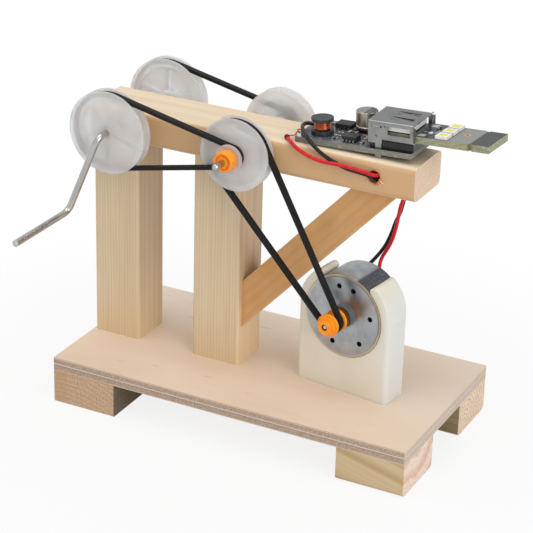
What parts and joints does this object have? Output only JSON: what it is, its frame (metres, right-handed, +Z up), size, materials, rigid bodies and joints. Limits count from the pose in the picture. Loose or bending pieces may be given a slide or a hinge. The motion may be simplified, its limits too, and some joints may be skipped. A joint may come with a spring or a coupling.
{
  "type": "hand crank phone charger",
  "caption": "Wooden stand with a wire crank, belt-driven pulleys in two steps, a small motor used as generator, a socket board and a plug-in lamp.",
  "frame": {"origin": "on the table under the middle of the whole, crank handle and lamp included", "axes": "+X along the beam from the crank to the lamp, +Y from the crank handle to the back, +Z up"},
  "size_m": [0.1265, 0.0804, 0.101],
  "materials": {
    "plywood": "raw",
    "foot_wood": "raw",
    "pine": "raw",
    "brace_wood": "raw",
    "steel_wire": "bright",
    "frosted_plastic": "frosted",
    "orange_plastic": "gloss",
    "black_rubber": "matte",
    "zinc_plate": "brushed",
    "bronze": "satin",
    "brass_tab": "satin",
    "magnet": "matte",
    "lamination": "satin",
    "copper": "bright",
    "carbon": "matte",
    "black_plastic": "matte",
    "ivory_plastic": "satin",
    "board_mask": "satin",
    "nickel_shell": "bright",
    "white_plastic": "satin",
    "ferrite": "matte",
    "can_metal": "satin",
    "solder": "satin",
    "small_part": "matte",
    "phosphor": "satin",
    "red_insulation": "gloss",
    "black_insulation": "gloss"
  },
  "bodies": {
    "stand": {"base_board": "plywood", "foot_front_left": "foot_wood", "foot_front_right": "foot_wood", "foot_back_left": "foot_wood", "foot_back_right": "foot_wood", "left_post": "pine", "right_post": "pine", "top_beam": "pine", "brace": "brace_wood", "front_crank_belt": "black_rubber", "back_crank_belt": "black_rubber", "motor_belt": "black_rubber", "motor_can": "zinc_plate", "motor_front_plate": "zinc_plate", "motor_bearing": "bronze", "motor_rear_bearing": "bronze", "motor_magnet": "magnet", "motor_end_cap": "black_plastic", "motor_brushes": "carbon", "motor_terminals": "brass_tab", "motor_bracket": "ivory_plastic", "circuit_board": "board_mask", "usb_shell": "nickel_shell", "usb_riser": "black_plastic", "usb_tongue": "white_plastic", "usb_contacts": "copper", "inductor_core": "ferrite", "inductor_winding": "copper", "capacitor_can": "can_metal", "capacitor_base": "black_plastic", "power_chips": "black_plastic", "chip_legs": "solder", "small_parts": "small_part", "solder_joints": "solder", "red_lead": "red_insulation", "black_lead": "black_insulation", "lead_strands": "copper"},
    "crank": {"crank_wire": "steel_wire", "front_crank_pulley": "frosted_plastic", "back_crank_pulley": "frosted_plastic"},
    "axle": {"driven_axle": "steel_wire", "front_step_pulley": "frosted_plastic", "back_step_pulley": "frosted_plastic", "front_bush": "orange_plastic", "back_bush": "orange_plastic"},
    "rotor": {"motor_shaft": "steel_wire", "motor_pulley": "orange_plastic", "motor_armature": "lamination", "motor_windings": "copper", "motor_commutator": "copper"},
    "lamp": {"lamp_board": "board_mask", "lamp_leds": "white_plastic", "lamp_phosphor": "phosphor", "lamp_parts": "small_part"}
  },
  "joints": [
    {"name": "crank_spin", "type": "hinge", "parent": "stand", "child": "crank", "pos_m": [-0.05077, 0.00965, 0.0842], "axis": [0, 1, 0], "continuous": true},
    {"name": "axle_spin", "type": "hinge", "parent": "stand", "child": "axle", "pos_m": [-0.01092, 0.00965, 0.0842], "axis": [0, 1, 0], "continuous": true},
    {"name": "rotor_spin", "type": "hinge", "parent": "stand", "child": "rotor", "pos_m": [0.02168, 0.00325, 0.03885], "axis": [0.1392, 0.9903, 0], "continuous": true},
    {"name": "lamp_pull", "type": "slide", "parent": "stand", "child": "lamp", "axis": [0.9944, -0.0698, 0.08], "range_m": [0, 0.01]}
  ],
  "couplings": [
    {"joint": "axle_spin", "follows": "crank_spin", "ratio": 3.7852},
    {"joint": "rotor_spin", "follows": "crank_spin", "ratio": 13.559}
  ]
}
